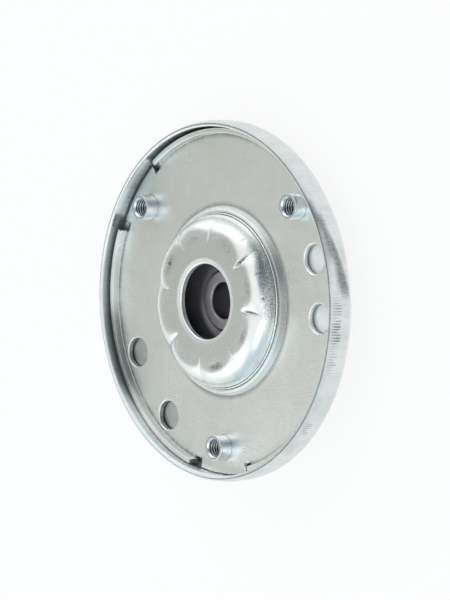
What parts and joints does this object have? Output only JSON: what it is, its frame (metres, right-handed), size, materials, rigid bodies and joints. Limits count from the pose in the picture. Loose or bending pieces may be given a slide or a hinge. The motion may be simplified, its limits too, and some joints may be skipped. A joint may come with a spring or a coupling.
{
  "type": "strut mount",
  "caption": "Round zinc-plated strut top mount: a rimmed pan and lipped plate with threaded bosses round a crimped, folded dome that holds a rubber bush and rod sleeve.",
  "frame": {"origin": "on the mount's axis, at the flat base of the can that the part lies on", "axes": "+Z along the rod's axis, towards the car body; +X and +Y are the picture's right and up"},
  "size_m": [0.146, 0.146, 0.0248],
  "materials": {
    "pan_zinc": "bright zinc plate, drawn rim",
    "plate_zinc": "satin zinc plate, flat sheet",
    "boss_zinc": "zinc plate with a blue cast, turned",
    "can_zinc": "bright zinc plate, crimped folds",
    "black_rubber": "matt moulded rubber",
    "grey_steel": "grey phosphate on turned steel"
  },
  "bodies": {
    "root": {"rear_pan": "pan_zinc", "front_plate": "plate_zinc", "weld_nuts": "boss_zinc", "crimped_can": "can_zinc", "rubber_bush": "black_rubber", "inner_sleeve": "grey_steel"}
  },
  "joints": []
}
